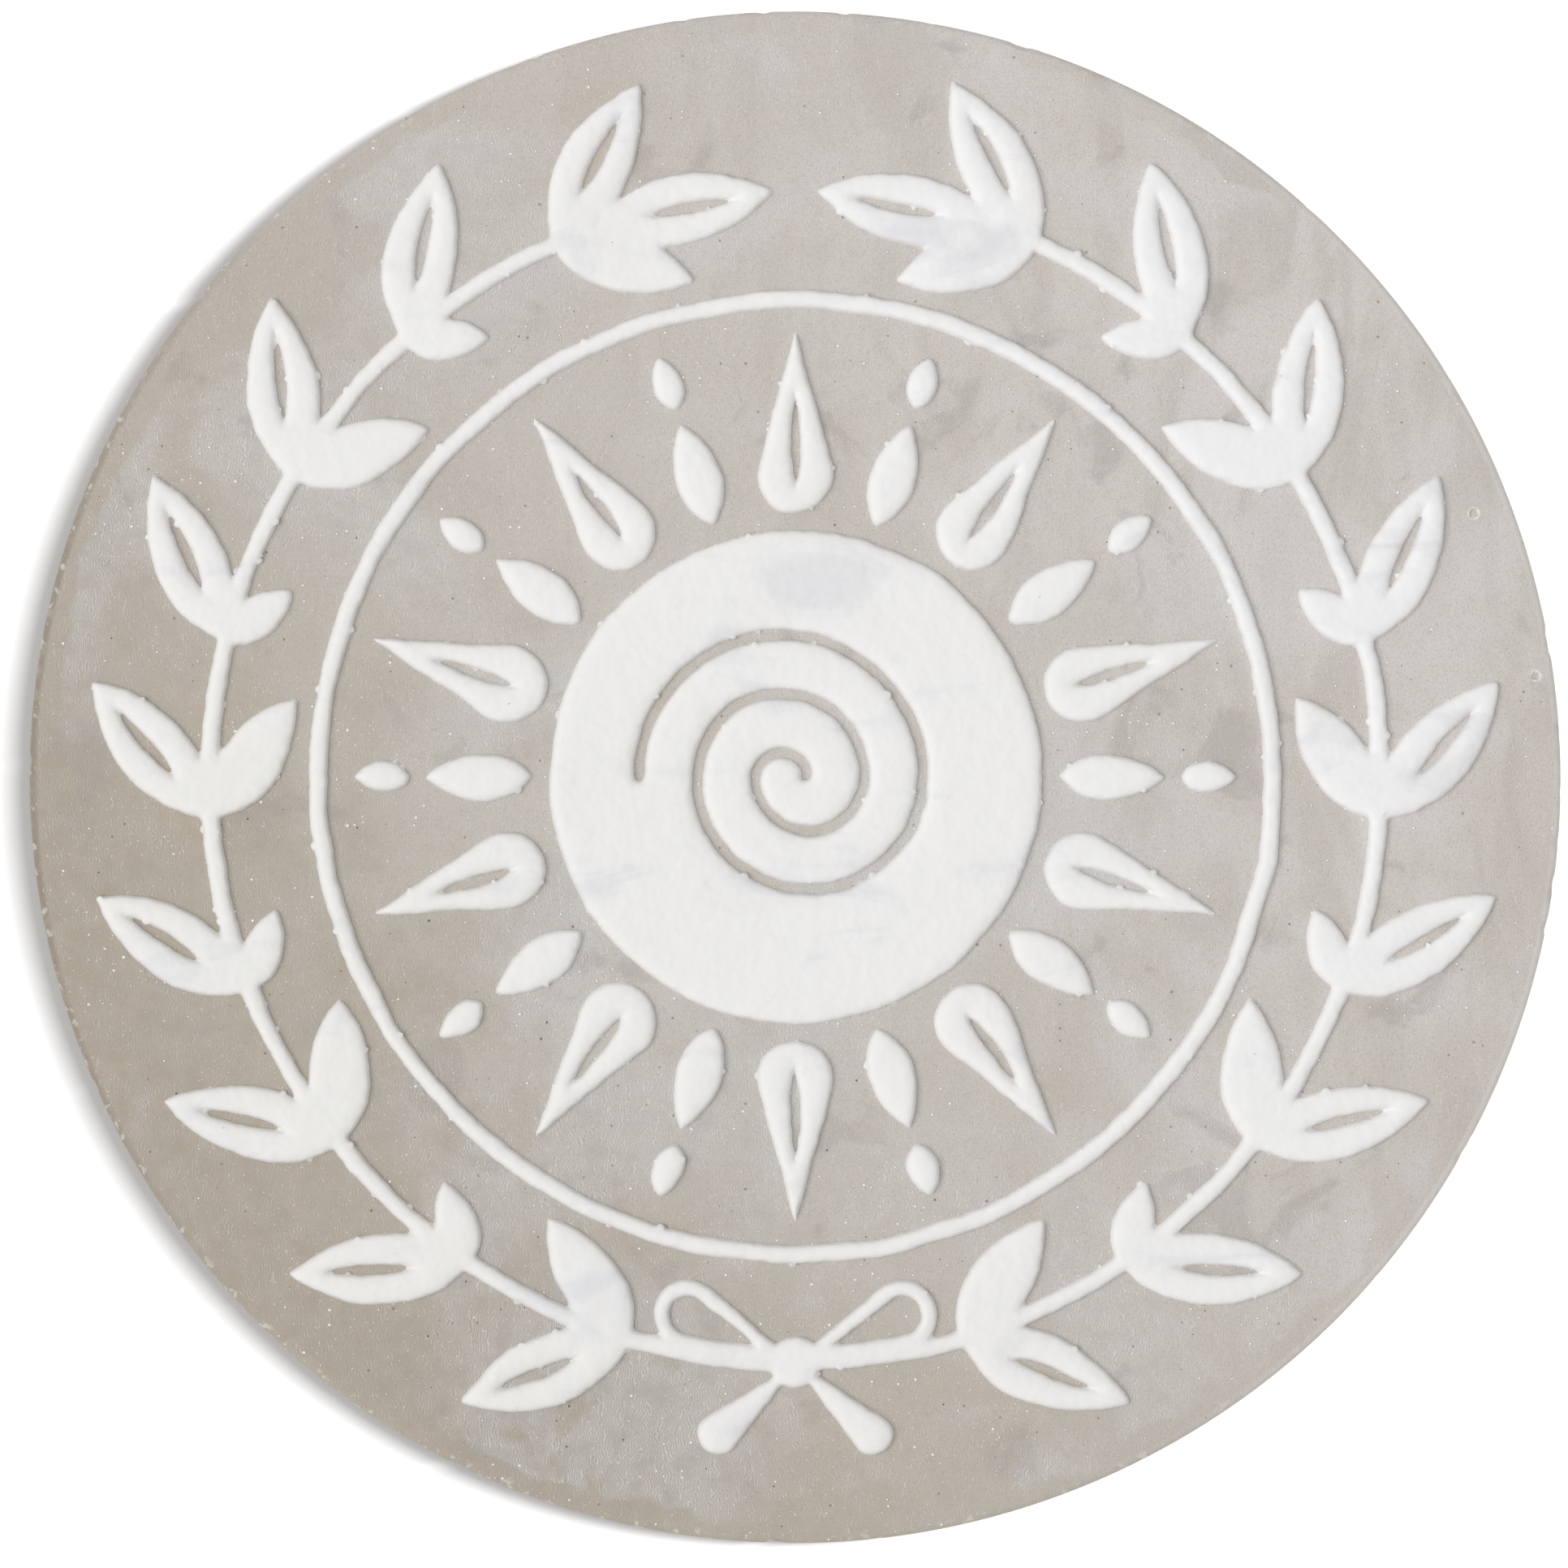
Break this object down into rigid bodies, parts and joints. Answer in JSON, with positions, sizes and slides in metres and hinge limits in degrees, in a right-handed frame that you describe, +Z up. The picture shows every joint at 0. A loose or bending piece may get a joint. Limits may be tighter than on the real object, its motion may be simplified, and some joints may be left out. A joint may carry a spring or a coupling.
{
  "type": "garden stepping stone",
  "caption": "Round cast concrete garden stepping stone lying face up, its face carrying a raised sun with a spiral, a ring and a wreath tied with a bow, all painted white.",
  "frame": {"origin": "centre of the flat back that lies on the ground", "axes": "+Z up through the decorated face, +Y towards the top of the ornament, +X to its right as seen from above"},
  "size_m": [0.305, 0.305, 0.025],
  "materials": {
    "concrete": "fair-faced cast concrete, warm grey and matte, with white masonry paint on the raised ornament"
  },
  "bodies": {
    "root": {"stepping_stone": "concrete"}
  },
  "joints": []
}
